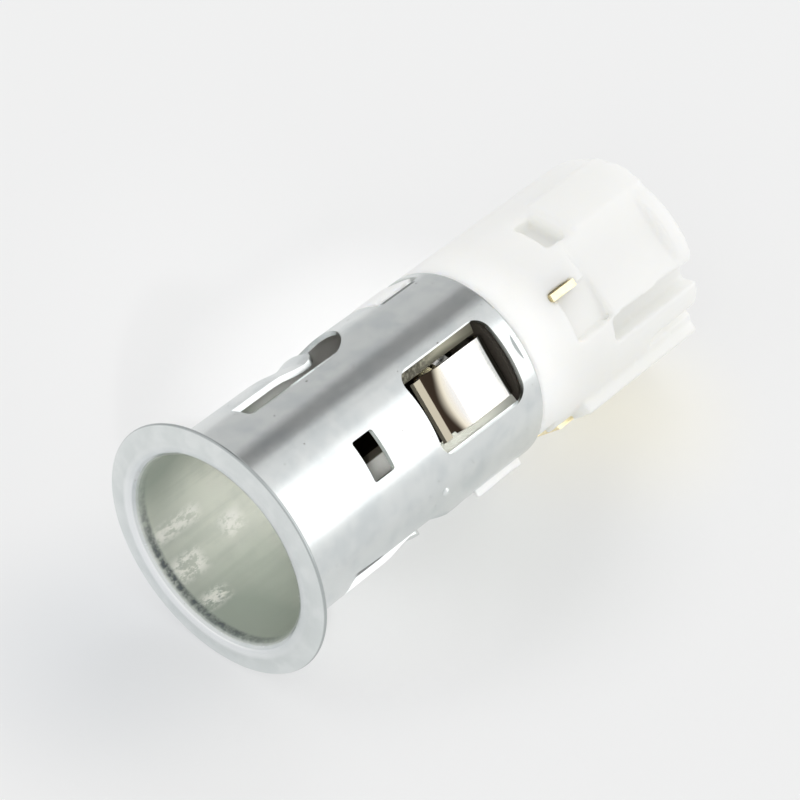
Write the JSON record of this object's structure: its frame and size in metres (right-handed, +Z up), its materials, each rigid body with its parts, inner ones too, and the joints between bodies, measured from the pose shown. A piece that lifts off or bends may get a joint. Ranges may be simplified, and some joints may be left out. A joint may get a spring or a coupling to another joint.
{
  "type": "car 12v power socket",
  "caption": "Dashboard power socket: a flanged steel shell with spring tongues and a contact clip, latched to a white connector housing.",
  "frame": {"origin": "on the bore's axis, where the whole round bore begins behind the flange bend", "axes": "+X from the mouth to the rear connector, level with the ground to 2.3 degrees; +Z up, as the socket lies on its flange and its two feet; the large window faces up and to -Y"},
  "size_m": [0.0643, 0.0284, 0.0284],
  "materials": {
    "plated_steel": "pale zinc plating, satin",
    "white_nylon": "natural nylon, slightly translucent",
    "nickel": "polished nickel plating",
    "brass": "plain stamped brass",
    "fibre": "brown fibre board"
  },
  "bodies": {
    "root": {"shell": "plated_steel", "housing": "white_nylon", "contact_clip": "nickel", "heat_washer": "fibre", "centre_contact": "nickel", "centre_rivet": "brass", "rear_washer": "plated_steel", "centre_terminal": "brass", "ground_terminal": "brass", "side_contact": "brass"}
  },
  "joints": []
}
